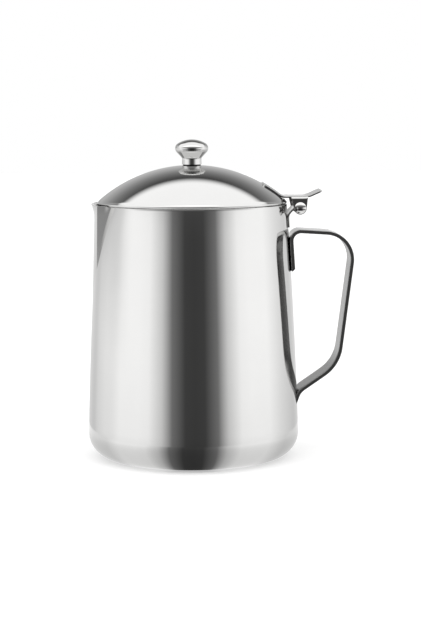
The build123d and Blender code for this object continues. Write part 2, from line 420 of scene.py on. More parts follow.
def spout_press(size, share, radius, height):
    """Presses the spout out of the wall, with the columns of the mesh laid along its folds.

    The share runs from 0 to 1 once round the vessel; the spout is at its middle.
    """
    full = size("Body Height")

    def wall(at):
        return taper(at, size("Foot Radius"), size("Rim Radius"), size("Wall Bulge"), full)

    root = full - size("Spout Depth")
    throat = full - size("Throat Drop")
    low = full - size("Fold Depth")
    root_reach = wall(root)
    slope = (wall(throat) + size("Throat Reach") - root_reach) / (throat - root)
    lip = size("Rim Radius") + size("Lip Reach")
    flare = ((height - throat) / size("Throat Drop")).math("MAXIMUM", 0.0)
    straight = root_reach + slope * (height - root)
    nose = straight + (lip - root_reach - slope * size("Spout Depth")) * flare * flare
    upper = ((height - low) / size("Fold Depth")).math("MAXIMUM", 0.0)
    lower = ramp_between(height, root, low)

    def up_the_fold(name):
        from_root = (size("Low " + name) - size("Root " + name)) * lower
        return size("Root " + name) + from_root + (size("Lip " + name) - size("Low " + name)) * upper

    half = up_the_fold("Half Width")
    fold = up_the_fold("Fold Reach")
    slant = size("Flank Angle")
    fold_offset = fold * slant.math("SINE") + half * slant.math("COSINE")
    fold_turn = half.math("ARCTAN2", fold)
    dip = size("Crease Dip") * upper * upper
    wall_turn = (fold_offset / (wall(height) - dip)).math("MINIMUM", 1.0).math("ARCSINE") - slant
    crease_turn = wall_turn.math("MAXIMUM", fold_turn)

    side = share * 2.0 - 1.0
    from_spout = side.math("ABSOLUTE")
    panel_end = size("Panel Share")
    flank_end = panel_end + size("Flank Share")
    on_panel = ramp_between(from_spout, 0.0, panel_end)
    on_flank = ramp_between(from_spout, panel_end, flank_end)
    on_wall = ramp_between(from_spout, flank_end, 1.0)
    turn = fold_turn * on_panel + (crease_turn - fold_turn) * on_flank + (pi - crease_turn) * on_wall

    crown = nose - fold
    bend = (half * half + crown * crown) / (crown * 2.0)
    beyond = bend - nose
    across = beyond * turn.math("SINE")
    panel = (bend * bend - across * across) ** 0.5 - beyond * turn.math("COSINE")
    flank = fold_offset / (slant + turn.math("MINIMUM", pi / 2 - slant)).math("SINE")
    drawn_in = dip * ramp_between(turn - crease_turn, size("Crease Turn"), 0.0) ** 2.0
    press = (panel.math("MINIMUM", flank) - wall(height)).math("MAXIMUM", -drawn_in)
    return pi + side.math("SIGN") * turn, radius + press


def end_tree(wires, shape, finish):
    """Closes the seams of what a tree made, and gives it its finish."""
    closed = wires.add("GeometryNodeMergeByDistance", {}, {"Geometry": shape, "Distance": merge_distance})
    real = wires.add("GeometryNodeRealizeInstances", {}, {0: closed})
    finished = wires.add("GeometryNodeSetMaterial", {}, {"Geometry": real, "Material": finish})
    wires.add("NodeGroupOutput", {}, {0: finished})


def turned_tree(name, size_names, press):
    """A tree that turns a profile about the axis; a press then moves the wall out."""
    tree = bpy.data.node_groups.new(name, "GeometryNodeTree")
    tree.interface.new_socket("Profile", in_out="INPUT", socket_type="NodeSocketGeometry")
    tree.interface.new_socket("Segments", in_out="INPUT", socket_type="NodeSocketInt")
    tree.interface.new_socket("Shaded Inside From", in_out="INPUT", socket_type="NodeSocketInt")
    tree.interface.new_socket("Finish", in_out="INPUT", socket_type="NodeSocketMaterial")
    for size_name in size_names:
        tree.interface.new_socket(size_name, in_out="INPUT", socket_type="NodeSocketFloat")
    tree.interface.new_socket("Piece", in_out="OUTPUT", socket_type="NodeSocketGeometry")
    wires = Wiring(tree)
    given = wires.add("NodeGroupInput", {}, {})
    profile = given.pick("Profile")
    segments = given.pick("Segments")
    count = wires.add("GeometryNodeAttributeDomainSize", {"component": "MESH"}, {0: profile}, "Point Count")
    grid = wires.add("GeometryNodeMeshGrid", {}, {"Vertices X": segments + 1.0, "Vertices Y": count})
    index = wires.add("GeometryNodeInputIndex", {}, {})
    column = (index / count).math("FLOOR")
    row = index - column * count
    where = wires.add("GeometryNodeInputPosition", {}, {})
    sampled = wires.add(
        "GeometryNodeSampleIndex",
        {"data_type": "FLOAT_VECTOR", "domain": "POINT"},
        {"Geometry": profile, "Value": where, "Index": row},
    )
    spot = wires.add("ShaderNodeSeparateXYZ", {}, {0: sampled})
    share = column / segments
    angle = share * (2.0 * pi)
    radius = spot.pick("X")
    height = spot.pick("Z")
    if press:
        angle, radius = press(given.pick, share, radius, height)
    placed = wires.add(
        "ShaderNodeCombineXYZ",
        {},
        {0: radius * angle.math("COSINE"), 1: radius * angle.math("SINE"), 2: height},
    )
    moved = wires.add("GeometryNodeSetPosition", {}, {"Geometry": grid, "Position": placed})
    # Rows after the given one are marked as inside, where the steel paints shade
    marked = wires.add(
        "GeometryNodeStoreNamedAttribute",
        {"data_type": "FLOAT", "domain": "POINT"},
        {"Geometry": moved, "Name": "inside", "Value": row.math("GREATER_THAN", given.pick("Shaded Inside From"))},
    )
    end_tree(wires, marked, given.pick("Finish"))
    return tree


def strap_tree():
    """A tree that sweeps a flat strap with softened edges along a bent path."""
    tree = bpy.data.node_groups.new("bent_strap", "GeometryNodeTree")
    tree.interface.new_socket("Path", in_out="INPUT", socket_type="NodeSocketGeometry")
    tree.interface.new_socket("Finish", in_out="INPUT", socket_type="NodeSocketMaterial")
    for size_name in ("Width", "Thickness", "Edge Round", "Step"):
        tree.interface.new_socket(size_name, in_out="INPUT", socket_type="NodeSocketFloat")
    tree.interface.new_socket("Piece", in_out="OUTPUT", socket_type="NodeSocketGeometry")
    wires = Wiring(tree)
    given = wires.add("NodeGroupInput", {}, {})
    line = wires.add("GeometryNodeMeshToCurve", {}, {0: given.pick("Path")})
    bend = wires.add("GeometryNodeInputNamedAttribute", {"data_type": "FLOAT"}, {"Name": "bend"})
    bent = wires.add(
        "GeometryNodeFilletCurve",
        {"mode": "POLY"},
        {"Curve": line, "Count": strap_bend_steps, "Radius": bend, "Limit Radius": True},
    )
    spacing = {"Curve": bent, "Length": given.pick("Step")}
    even = wires.add("GeometryNodeResampleCurve", {"mode": "LENGTH"}, spacing)
    section = wires.add(
        "GeometryNodeCurvePrimitiveQuadrilateral",
        {"mode": "RECTANGLE"},
        {"Width": given.pick("Width"), "Height": given.pick("Thickness")},
    )
    softened = wires.add(
        "GeometryNodeFilletCurve",
        {"mode": "POLY"},
        {
            "Curve": section,
            "Count": strap_edge_steps,
            "Radius": given.pick("Edge Round"),
            "Limit Radius": True,
        },
    )
    divided = wires.add("GeometryNodeSubdivideCurve", {}, {"Curve": softened, "Cuts": strap_side_cuts})
    swept = wires.add(
        "GeometryNodeCurveToMesh", {}, {"Curve": even, "Profile Curve": divided, "Fill Caps": True}
    )
    end_tree(wires, swept, given.pick("Finish"))
    return tree


def make_plain(piece):
    """Turns what the piece's modifiers give into its own mesh."""
    bpy.context.view_layer.update()
    graph = bpy.context.evaluated_depsgraph_get()
    mesh = bpy.data.meshes.new_from_object(piece.evaluated_get(graph))
    piece.modifiers.clear()
    piece.data = mesh


def point_outwards(mesh):
    """Turns a closed mesh whose faces point inwards."""
    shape = bmesh.new()
    shape.from_mesh(mesh)
    if shape.calc_volume(signed=True) < 0:
        bmesh.ops.reverse_faces(shape, faces=shape.faces)
    shape.to_mesh(mesh)
    shape.free()


def smooth(mesh, crease):
    mesh.polygons.foreach_set("use_smooth", [True] * len(mesh.polygons))
    mesh.set_sharp_from_angle(angle=radians(crease))


def grow(name, points, tree, values):
    """A piece that a tree grows from a line of points, with its named inputs set."""
    mesh = bpy.data.meshes.new(name)
    places = [(point[0] * MM, 0.0, point[1] * MM) for point in points]
    mesh.from_pydata(places, [(at, at + 1) for at in range(len(places) - 1)], [])
    piece = put_in_scene(name, mesh)
    modifier = piece.modifiers.new(name, "NODES")
    modifier.node_group = tree
    for item in tree.interface.items_tree:
        if item.in_out == "INPUT" and item.name in values:
            modifier[item.identifier] = values[item.name]
    return piece


def settle(piece, body, node, crease):
    """Finishes a piece: smooth faces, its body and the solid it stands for."""
    smooth(piece.data, crease)
    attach(piece, body)
    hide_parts(node)


turned = turned_tree("turned_piece", (), None)


def turn_piece(name, profile, segments, finish, shaded_from=no_shaded_rows):
    """A piece turned from its profile, with its faces pointing outwards."""
    values = {"Segments": segments, "Shaded Inside From": shaded_from, "Finish": finish}
    piece = grow(name, profile, turned, values)
    make_plain(piece)
    point_outwards(piece.data)
    return piece


spout_root_height = body_height - spout_depth
spout_low_height = body_height - spout_fold_depth


def fold_on_wall(half, height):
    """How far out, towards the spout, the wall is at a half width and a height."""
    return sqrt(wall_radius(height) ** 2 - half**2)


vessel_sizes = {
    "Body Height": body_height * MM,
    "Foot Radius": foot_radius * MM,
    "Rim Radius": rim_radius * MM,
    "Wall Bulge": wall_bulge * MM,
    "Lip Reach": spout_lip_reach * MM,
    "Throat Reach": spout_throat_reach * MM,
    "Throat Drop": spout_throat_drop * MM,
    "Spout Depth": spout_depth * MM,
    "Fold Depth": spout_fold_depth * MM,
    "Lip Half Width": spout_half_width * MM,
    "Low Half Width": spout_low_half_width * MM,
    "Root Half Width": spout_root_half_width * MM,
    "Lip Fold Reach": (rim_radius + spout_lip_reach - spout_lip_crown) * MM,
    "Low Fold Reach": fold_on_wall(spout_low_half_width, spout_low_height) * MM,
    "Root Fold Reach": fold_on_wall(spout_root_half_width, spout_root_height) * MM,
    "Flank Angle": radians(spout_flank_angle),
    "Crease Dip": spout_crease_dip * MM,
    "Crease Turn": radians(spout_crease_turn),
    "Panel Share": spout_panel_share,
    "Flank Share": spout_flank_share,
}
pressed_vessel = turned_tree("pressed_vessel", vessel_sizes, spout_press)
bent_strap = strap_tree()


def base_corner(inset):
    """The rounded corner between base and wall, set in by a thickness."""
    radius = base_corner_radius - inset
    lean = atan((wall_radius(base_corner_radius - 1) - wall_radius(base_corner_radius + 1)) / 2)
    touch = base_corner_radius + radius * sin(lean)
    centre = (wall_radius(touch) - inset - radius * cos(lean), base_corner_radius)
    return arc(centre, radius, -90, degrees(lean), 14)


def wall_run(low, high, inset, steps):
    """Points up the wall, set in by a thickness."""
    return [(wall_radius(z) - inset, z) for z in spread(low, high, steps)]


# Jug body: one sheet, turned, with the spout pressed out
outer_corner = base_corner(0)
inner_corner = base_corner(body_sheet)
hem_low = body_height - rim_hem_height
throat_height = body_height - spout_throat_drop
rim_turn = []
for angle in spread(0, 90, 10):
    z = body_height - rim_round_height * (1 - sin(radians(angle)))
    rim_turn.append((wall_radius(z) - rim_round_width * (1 - cos(radians(angle))), z))
outer_side = chain(
    run((0, 0), outer_corner[0], 3),
    outer_corner,
    wall_run(outer_corner[-1][1], spout_root_height, 0, 14),
    wall_run(spout_root_height, throat_height, 0, 36),
    wall_run(throat_height, body_height - rim_round_height, 0, 7),
    rim_turn,
)
inner_round_centre = (rim_radius - rim_hem_width + rim_inner_round, body_height - rim_inner_round)
inner_round = arc(inner_round_centre, rim_inner_round, 90, 180, 4)
inner_side = chain(
    inner_round,
    wall_run(body_height - rim_inner_round, hem_low, rim_hem_width, 2),
    wall_run(hem_low, hem_low - hem_under_row, body_sheet, 1),
    wall_run(hem_low - hem_under_row, inner_corner[-1][1], body_sheet, 24),
    inner_corner[::-1],
    run(inner_corner[0], (0, body_sheet), 3),
)
# The inner wall's rows are marked as inside: painted shade inside the jug, at 0.9 of the tone
vessel = grow(
    "jug_vessel",
    chain(outer_side, inner_side),
    pressed_vessel,
    {
        **vessel_sizes,
        "Segments": vessel_segments,
        "Shaded Inside From": len(outer_side) + len(inner_round),
        "Finish": vessel_steel,
    },
)
make_plain(vessel)
point_outwards(vessel.data)
for vertex in vessel.data.vertices:
    place = vertex.co
    top_share = (place.z / MM - body_height + spout_lip_zone) / spout_lip_zone
    out_share = (hypot(place.x, place.y) / MM - rim_radius - spout_lip_margin) / spout_lip_run
    if top_share > 0 and out_share > 0:
        place.z += spout_lip_rise * min(top_share, 1.0) * min(out_share, 1.0) * MM
settle(vessel, "jug", "jug_body", sheet_crease)

# Handle: one strap, bent
leg_top = body_height - handle_top_drop
leg_bottom = leg_top - handle_leg_length
leg_offset = strap_thickness / 2 - weld_sink
strap = grow(
    "handle_strap",
    [
        (wall_radius(leg_bottom) + leg_offset, leg_bottom),
        (wall_radius(leg_top) + leg_offset, leg_top),
        (wall_radius(leg_top) + handle_top_reach, leg_top - handle_top_fall),
        (wall_radius(handle_lower_height) + handle_lower_reach, handle_lower_height),
        (wall_radius(handle_foot_height) + handle_foot_stand, handle_foot_height),
        (wall_radius(handle_foot_end) - handle_foot_sink, handle_foot_end),
    ],
    bent_strap,
    {
        "Width": strap_width * MM,
        "Thickness": strap_thickness * MM,
        "Edge Round": strap_edge_round * MM,
        "Step": strap_step * MM,
        "Finish": strap_steel,
    },
)
bends = strap.data.attributes.new("bend", "FLOAT", "POINT")
bend_radii = (0.0, handle_leg_bend, handle_grip_bend, handle_lower_bend, handle_foot_bend, 0.0)
bends.data.foreach_set("value", [radius * MM for radius in bend_radii])
make_plain(strap)
point_outwards(strap.data)
for vertex in strap.data.vertices:
    place = vertex.co
    height = place.z / MM
    from_end = height - leg_bottom
    leg_middle = wall_radius(height) + leg_offset
    if -strap_thickness < from_end < leg_end_round and abs(place.x / MM - leg_middle) < strap_thickness:
        share = sqrt(max(0.0, 1 - (1 - max(0.0, from_end) / leg_end_round) ** 2))
        inner_face = leg_middle - strap_thickness / 2
        place.x = (inner_face + (place.x / MM - inner_face) * share) * MM
    sunk = (wall_radius(height) - foot_weld_sink) * MM
    radius = hypot(place.x, place.y)
    if radius < sunk:
        place.x = sqrt(max(sunk**2 - place.y**2, 0.0))
# Painted shade: faces turned to the middle of the handle's loop are marked as inside, and the strap's steel
# keeps half its tone there
loop_x = wall_radius(leg_top) + handle_top_reach / 2
loop_z = (leg_top + handle_lower_height) / 2
loop_middle = Vector((loop_x * MM, 0.0, loop_z * MM))
least_facing = 0.35
edge_facing = 0.5
shaded_marks = []
for face in strap.data.polygons:
    inwards = (loop_middle - face.center).normalized()
    faces_loop = face.normal.dot(inwards) > least_facing and abs(face.normal.y) < edge_facing
    shaded_marks.append(1.0 if faces_loop else 0.0)
strap.data.attributes.new("inside", "FLOAT", "FACE").data.foreach_set("value", shaded_marks)
settle(strap, "jug", "handle", strap_crease)


def sheet_piece(name, shape, upward, thickness, edge, finish):
    """Gives a bent sheet its thickness and softened edges."""
    bmesh.ops.remove_doubles(shape, verts=shape.verts, dist=sheet_merge_distance)
    bmesh.ops.recalc_face_normals(shape, faces=shape.faces)
    shape.faces.ensure_lookup_table()
    if upward(shape) < 0:
        bmesh.ops.reverse_faces(shape, faces=shape.faces)
    mesh = bpy.data.meshes.new(name)
    shape.to_mesh(mesh)
    shape.free()
    mesh.materials.append(finish)
    piece = put_in_scene(name, mesh)
    wall = piece.modifiers.new("wall", "SOLIDIFY")
    wall.thickness = thickness * MM
    wall.offset = -1.0
    wall.use_even_offset = True
    soften = piece.modifiers.new("soften", "BEVEL")
    soften.width = edge * MM
    soften.segments = 2
    soften.limit_method = "ANGLE"
    soften.angle_limit = radians(soften_angle)
    make_plain(piece)
    return piece


def fill_rows(shape, rows):
    """Faces between rows of as many corners each."""
    for row, following in zip(rows, rows[1:]):
        for at in range(len(row) - 1):
            shape.faces.new((row[at], following[at], following[at + 1], row[at + 1]))


def smooth_larger(first, second, reach):
    """The larger of two values, rounded where they cross."""
    overlap = max(reach - abs(first - second), 0.0) / reach
    return max(first, second) + overlap * overlap * reach / 4


# Lever: one sheet that hugs the dome, runs flat over the hinge, turns down into ears and rises to the thumb
thumb_angle = atan2(thumb_rise, thumb_length)
thumb_low = pin_x + thumb_start - thumb_bend * tan(thumb_angle / 2)
thumb_high = thumb_low + thumb_bend * sin(thumb_angle)
thumb_end = pin_x + thumb_start + thumb_length
lever_start = lid_radius - lever_dome_length


def lever_height(x, y):
    """Height of the lever's upper face."""
    dome = dome_height(hypot(x, y), lid_dome_radius + lever_sheet)
    height = smooth_larger(dome, plate_top, lever_dome_bend)
    if x > thumb_high:
        return height + thumb_bend * (1 - cos(thumb_angle)) + (x - thumb_high) * tan(thumb_angle)
    if x > thumb_low:
        return height + thumb_bend - sqrt(thumb_bend**2 - (x - thumb_low) ** 2)
    return height


def lever_half_width(x):
    """Half the lever's width, less where a corner is rounded."""
    from_end = min(x - lever_start, thumb_end - x)
    if from_end > lever_corner:
        return lever_width / 2
    return lever_width / 2 - lever_corner + sqrt(max(lever_corner**2 - (lever_corner - from_end) ** 2, 0.0))


def ear_half_width_at(z):
    share = min(1.0, (plate_top - z) / (plate_top - pin_z))
    return ear_half_width + (ear_round - ear_half_width) * share


lever_shape = bmesh.new()
bend_start = lever_width / 2 - ear_bend
front_edge = pin_x - ear_half_width - ear_front_reach
back_edge = pin_x + ear_half_width
corner_shares = (0, 0.04, 0.15, 0.35, 0.65, 1)
front_stations = [lever_start + lever_corner * share for share in corner_shares]
front_stations += spread(lever_start + lever_corner, front_edge - ear_slit, 26)[1:]
ear_shares = spread(-1, 1, 10)
ear_stations = spread(front_edge, back_edge, 10)
back_stations = spread(back_edge + ear_slit, thumb_end - lever_corner, 14)
back_stations += [thumb_end - lever_corner * share for share in corner_shares[-2::-1]]
flat_shares = spread(-1, 1, 16)
flank_shares = spread(0, 1, 3)
bend_angles = [15, 30, 45, 60, 75, 90]
round_angles = [12, 24, 36, 48, 60, 72, 82, 90]


def lever_corner_at(x, y):
    """A corner of the lever's upper face, kept inside its rounded outline."""
    y = y * lever_half_width(x) / (lever_width / 2)
    return lever_shape.verts.new((x * MM, y * MM, lever_height(x, y) * MM))


middle_rows = {}
for x in front_stations + ear_stations + back_stations:
    middle_rows[x] = [lever_corner_at(x, share * bend_start) for share in flat_shares]
fill_rows(lever_shape, list(middle_rows.values()))
for side, end in ((-1, 0), (1, -1)):
    for stations in (front_stations, back_stations):
        flank_rows = []
        for x in stations:
            outer = [lever_corner_at(x, side * (bend_start + ear_bend * share)) for share in flank_shares[1:]]
            flank_rows.append([middle_rows[x][end]] + outer)
        fill_rows(lever_shape, flank_rows)
    ear_rows = []
    for share, x in zip(ear_shares, ear_stations):
        top = lever_height(x, bend_start)
        levels = []
        for angle in bend_angles:
            out = bend_start + ear_bend * sin(radians(angle))
            levels.append((out, top - ear_bend + ear_bend * cos(radians(angle)), None))
        for z in spread(top - ear_bend, pin_z, 6)[1:]:
            levels.append((lever_width / 2, z, None))
        for angle in round_angles:
            z = pin_z - ear_round * sin(radians(angle))
            levels.append((lever_width / 2, z, ear_round * cos(radians(angle))))
        corners = [middle_rows[x][end]]
        for out, z, half in levels:
            half = ear_half_width_at(z) if half is None else half
            front = ear_front_reach * min(1.0, max(0.0, (z - pin_z) / (plate_top - pin_z)))
            x_out = pin_x + share * half - front * (1 - share) / 2
            corners.append(lever_shape.verts.new((x_out * MM, side * out * MM, z * MM)))
        ear_rows.append(corners)
    fill_rows(lever_shape, ear_rows)
lever = sheet_piece(
    "lever_sheet",
    lever_shape,
    lambda shape: sum(face.normal.z for face in shape.faces),
    lever_sheet,
    lever_edge,
    strap_steel,
)
settle(lever, "lid", "lid_lever", strap_crease)

# Hinge bracket: a strip on the wall that leans out and rolls round the rivet
arm_along = (cos(radians(bracket_slant)), sin(radians(bracket_slant)))
arm_end = (pin_x - arm_along[1] * knuckle_bore, pin_z + arm_along[0] * knuckle_bore)
leg_foot = body_height - bracket_leg_drop
arm_run = arm_end[0] - wall_radius(pin_z) - bracket_sheet
leg_head = arm_end[1] - arm_run * arm_along[1] / arm_along[0]
corner = (wall_radius(leg_head) + bracket_sheet, leg_head)
leg_stop = (wall_radius(leg_head - bracket_bend) + bracket_sheet, leg_head - bracket_bend)
arm_start = (corner[0] + arm_along[0] * bracket_bend, corner[1] + arm_along[1] * bracket_bend)
bend_points = []
for share in spread(0, 1, 8):
    first = (1 - share) ** 2
    second = 2 * share * (1 - share)
    third = share**2
    bend_points.append(
        (
            first * leg_stop[0] + second * corner[0] + third * arm_start[0],
            first * leg_stop[1] + second * corner[1] + third * arm_start[1],
        )
    )
bracket_path = chain(
    run((wall_radius(leg_foot) + bracket_sheet, leg_foot), leg_stop, 6),
    bend_points,
    run(arm_start, arm_end, 5),
    arc((pin_x, pin_z), knuckle_bore, 90 + bracket_slant, knuckle_end, 40),
)
bracket_shape = bmesh.new()
bracket_rows = []
for x, z in bracket_path:
    hug = min(1.0, max(0.0, (arm_end[1] - z) / (arm_end[1] - leg_head)))
    if x > arm_end[0]:
        hug = 0.0
    row = []
    for share in spread(-1, 1, 20):
        y = share * bracket_width / 2
        sag = x - sqrt(x * x - y * y)
        row.append(bracket_shape.verts.new(((x - hug * sag) * MM, y * MM, z * MM)))
    bracket_rows.append(row)
fill_rows(bracket_shape, bracket_rows)
bracket = sheet_piece(
    "hinge_strip",
    bracket_shape,
    lambda shape: shape.faces[10].normal.x,
    bracket_sheet,
    bracket_edge,
    strap_steel,
)
settle(bracket, "jug", "hinge_bracket", strap_crease)

# Rivet, turned and then laid along the hinge
head_seat = lever_width / 2
head_edge = head_seat + pin_head_edge
dome_edge = pin_head_radius - pin_head_round * (1 - sin(radians(pin_head_slope)))
pin_head_dome = dome_edge / sin(radians(pin_head_slope))
dome_rise = pin_head_dome * (1 - cos(radians(pin_head_slope)))
head_top = head_edge + pin_head_round * cos(radians(pin_head_slope)) + dome_rise
under_round_centre = (pin_head_radius - pin_head_under_round, head_seat + pin_head_under_round)
half_rivet = chain(
    [(pin_radius, 0), (pin_radius, head_seat)],
    run((pin_radius, head_seat), (under_round_centre[0], head_seat), 2),
    arc(under_round_centre, pin_head_under_round, -90, 0, 3),
    [(pin_head_radius, head_edge)],
    arc((pin_head_radius - pin_head_round, head_edge), pin_head_round, 0, 90 - pin_head_slope, 6),
    arc((0, head_top - pin_head_dome), pin_head_dome, 90 - pin_head_slope, 90, 9),
)
rivet_profile = [(r, -z) for r, z in half_rivet[::-1]] + half_rivet[1:]
rivet = turn_piece("hinge_rivet", rivet_profile, rivet_segments, turned_steel)
along_hinge = Matrix.Rotation(radians(-90), 4, "X")
rivet.data.transform(Matrix.Translation((pin_x * MM, 0, pin_z * MM)) @ along_hinge)
settle(rivet, "lid", "hinge_pin", fitting_crease)

# Lid: a spun dome whose edge turns under into the skirt
edge_angle = degrees(atan2(edge_centre[1] - dome_centre_height, edge_centre[0]))
seat_height = dome_height(knob_seat_radius, lid_dome_radius)
seat_angle = degrees(atan2(seat_height - dome_centre_height, knob_seat_radius))
under_seat = seat_height - lid_sheet
inner_sphere = lid_dome_radius - lid_sheet
skirt_inner = skirt_radius - lid_sheet
skirt_round_height = body_height - skirt_drop + lid_sheet / 2
skirt_high = dome_height(skirt_inner, inner_sphere)
skirt_angle = degrees(atan2(skirt_high - dome_centre_height, skirt_inner))
under_angle = degrees(atan2(under_seat - dome_centre_height, knob_seat_radius))
under_side = chain(
    run((screw_hole_radius, under_seat), (knob_seat_radius, under_seat), 2),
    arc((0, dome_centre_height), inner_sphere, under_angle, skirt_angle, 36)[1:],
    run((skirt_inner, skirt_high), (skirt_inner, skirt_round_height), 5),
    arc((skirt_radius - lid_sheet / 2, skirt_round_height), lid_sheet / 2, 180, 360, 8),
    run((skirt_radius, skirt_round_height), (skirt_radius, lid_base_height), 4),
    run((skirt_radius, lid_base_height), (bead_centre[0], lid_base_height), 2),
)
upper_side = chain(
    arc(bead_centre, lid_bead_radius, -90, lid_bead_end, 16),
    arc(edge_centre, lid_edge_round, lid_edge_lean, edge_angle, 10),
    arc((0, dome_centre_height), lid_dome_radius, edge_angle, seat_angle, 60),
    run((knob_seat_radius, seat_height), (screw_hole_radius, seat_height), 3),
    [(screw_hole_radius, under_seat)],
)
lid = turn_piece("lid_dome", chain(under_side, upper_side), lid_segments, spun_steel)
settle(lid, "lid", "lid", sheet_crease)

# Knob: turned, with a full round edge and a groove under its stem, painted near black as shade
knob_edge_centre = (knob_radius - knob_edge_round, knob_height - knob_edge_drop)
crown_gap = knob_height - knob_edge_centre[1]
crown_spread = knob_edge_centre[0] ** 2 + crown_gap**2 - knob_edge_round**2
crown_radius = crown_spread / (2 * (crown_gap - knob_edge_round))
crown_centre = (0, knob_height - crown_radius)
crown_angle = degrees(atan2(knob_edge_centre[1] - crown_centre[1], knob_edge_centre[0]))
cone_dx = knob_edge_centre[0] - knob_stem_radius
cone_dz = knob_edge_centre[1] - knob_stem_height
cone_length = sqrt(cone_dx**2 + cone_dz**2 - knob_edge_round**2)
cone_angle = degrees(atan2(cone_dz, cone_dx) - atan2(knob_edge_round, cone_length))
neck = (knob_stem_radius, knob_stem_height)
neck_high = (knob_neck_round * cos(radians(cone_angle)), knob_neck_round * sin(radians(cone_angle)))
groove_radius = knob_foot_radius - knob_groove_depth
groove = [(0, 0), (groove_radius, 0), (groove_radius, knob_groove_height)]
stem_foot = (knob_foot_radius, knob_groove_height + knob_groove_slope)
knob_profile = chain(
    groove,
    run(stem_foot, (knob_stem_radius, neck[1] - knob_neck_round), 5),
    [(neck[0] + out, neck[1] + up) for out, up in (knob_neck_low, knob_neck_middle, neck_high)],
    arc(knob_edge_centre, knob_edge_round, cone_angle - 90, crown_angle, 20),
    arc(crown_centre, crown_radius, crown_angle, 90, 24),
)
# The groove's rows are marked as inside, where the turned steel paints shade, near black
knob = turn_piece(
    "turned_knob",
    [(r, z + seat_height) for r, z in knob_profile[::-1]],
    knob_segments,
    turned_steel,
    len(knob_profile) - len(groove) - 1,
)
settle(knob, "lid", "knob", fitting_crease)

# Washer and screw inside the lid
washer_low = under_seat - washer_thickness
washer_flat = washer_radius - washer_edge_round
washer_profile = chain(
    run((screw_hole_radius, washer_low), (washer_flat, washer_low), 2),
    arc((washer_flat, washer_low + washer_edge_round), washer_edge_round, -90, 0, 3),
    arc((washer_flat, under_seat - washer_edge_round), washer_edge_round, 0, 90, 3),
    run((washer_flat, under_seat), (screw_hole_radius, under_seat), 2),
    [(screw_hole_radius, washer_low)],
)
washer = turn_piece("lid_washer", washer_profile, fixing_segments, plain_steel)
settle(washer, "lid", "screw_washer", fitting_crease)

head_low = washer_low - screw_head_height
head_flat = screw_head_radius - screw_head_round
screw_tip = seat_height + screw_engagement
screw_profile = chain(
    run((0, head_low), (head_flat, head_low), 3),
    arc((head_flat, head_low + screw_head_round), screw_head_round, -90, 0, 7),
    [(screw_head_radius, washer_low), (screw_radius, washer_low)],
    run((screw_radius, washer_low), (screw_radius, screw_tip - screw_tip_chamfer), 3),
    [(screw_radius - screw_tip_chamfer, screw_tip), (0, screw_tip)],
)
screw = turn_piece("knob_fixing_screw", screw_profile, fixing_segments, plain_steel)
slot_length = 3 * screw_head_radius
slot_shape = bmesh.new()
bmesh.ops.create_cube(slot_shape, size=1.0)
for vertex in slot_shape.verts:
    vertex.co.x *= slot_length * MM
    vertex.co.y *= screw_slot_width * MM
    vertex.co.z = (head_low + vertex.co.z * 2 * screw_slot_depth) * MM
slot_mesh = bpy.data.meshes.new("slot_cut")
slot_shape.to_mesh(slot_mesh)
slot_shape.free()
slot_cut = put_in_scene("slot_cut", slot_mesh)
cut = screw.modifiers.new("slot", "BOOLEAN")
cut.operation = "DIFFERENCE"
cut.object = slot_cut
make_plain(screw)
bpy.data.objects.remove(slot_cut)
settle(screw, "lid", "knob_screw", screw_crease)

# Light of the room, the least number to divide by, and the angle at which the jug stood to the camera
room_level = 1.5
nearly_zero = 0.001
jug_turn = 2.0

# Floor, in metres: pale, keeps the shadow, and is white to the camera away from it
floor_tone = 0.6
floor_glow = 0.45
floor_reach = 4.0
floor_drop = 0.0002
floor_paint, floor_wires = new_paint("pale_floor")
seen = floor_wires.add("ShaderNodeLightPath", {}, {}, "Is Camera Ray")
matt = floor_wires.add("ShaderNodeBsdfDiffuse", {}, {"Color": (floor_tone, floor_tone, floor_tone, 1.0)})
white_glow = {"Color": (1.0, 1.0, 1.0, 1.0), "Strength": seen * floor_glow}
glow = floor_wires.add("ShaderNodeEmission", {}, white_glow)
both = floor_wires.add("ShaderNodeAddShader", {}, {0: matt, 1: glow})
floor_wires.add("ShaderNodeOutputMaterial", {}, {"Surface": both})
floor_mesh = bpy.data.meshes.new("floor")
corner_signs = ((-1, -1), (1, -1), (1, 1), (-1, 1))
floor_corners = [(x * floor_reach, y * floor_reach, -floor_drop) for x, y in corner_signs]
floor_mesh.from_pydata(floor_corners, [], [(0, 1, 2, 3)])
floor_mesh.materials.append(floor_paint)
floor = put_in_scene("floor", floor_mesh)
floor.visible_glossy = False


def wall_light(wires, bearing):
    """Level of the studio's walls, from 0 at the camera's side to 1 behind the jug."""
    stops = (
        (0.0, 0.045),
        (0.06, 0.05),
        (0.14, 0.165),
        (0.205, 0.63),
        (0.29, 0.96),
        (0.36, 1.0),
        (0.50, 1.0),
        (0.62, 0.80),
        (0.78, 0.60),
        (1.0, 0.62),
    )
    return wires.add("ShaderNodeValToRGB", {"stops": stops}, {"Fac": bearing})


def soft_step(signal, start, end):
    """0 before the start, 1 after the end, soft in between."""
    sockets = {0: signal, 1: start, 2: end, 3: 0.0, 4: 1.0}
    return signal.wires.add("ShaderNodeMapRange", {"interpolation_type": "SMOOTHSTEP"}, sockets)


def zone(signal, low, low_full, high_full, high):
    """1 between the two full values, and soft down to 0 at the low and the high one."""
    return soft_step(signal, low, low_full) * soft_step(signal, high, high_full)
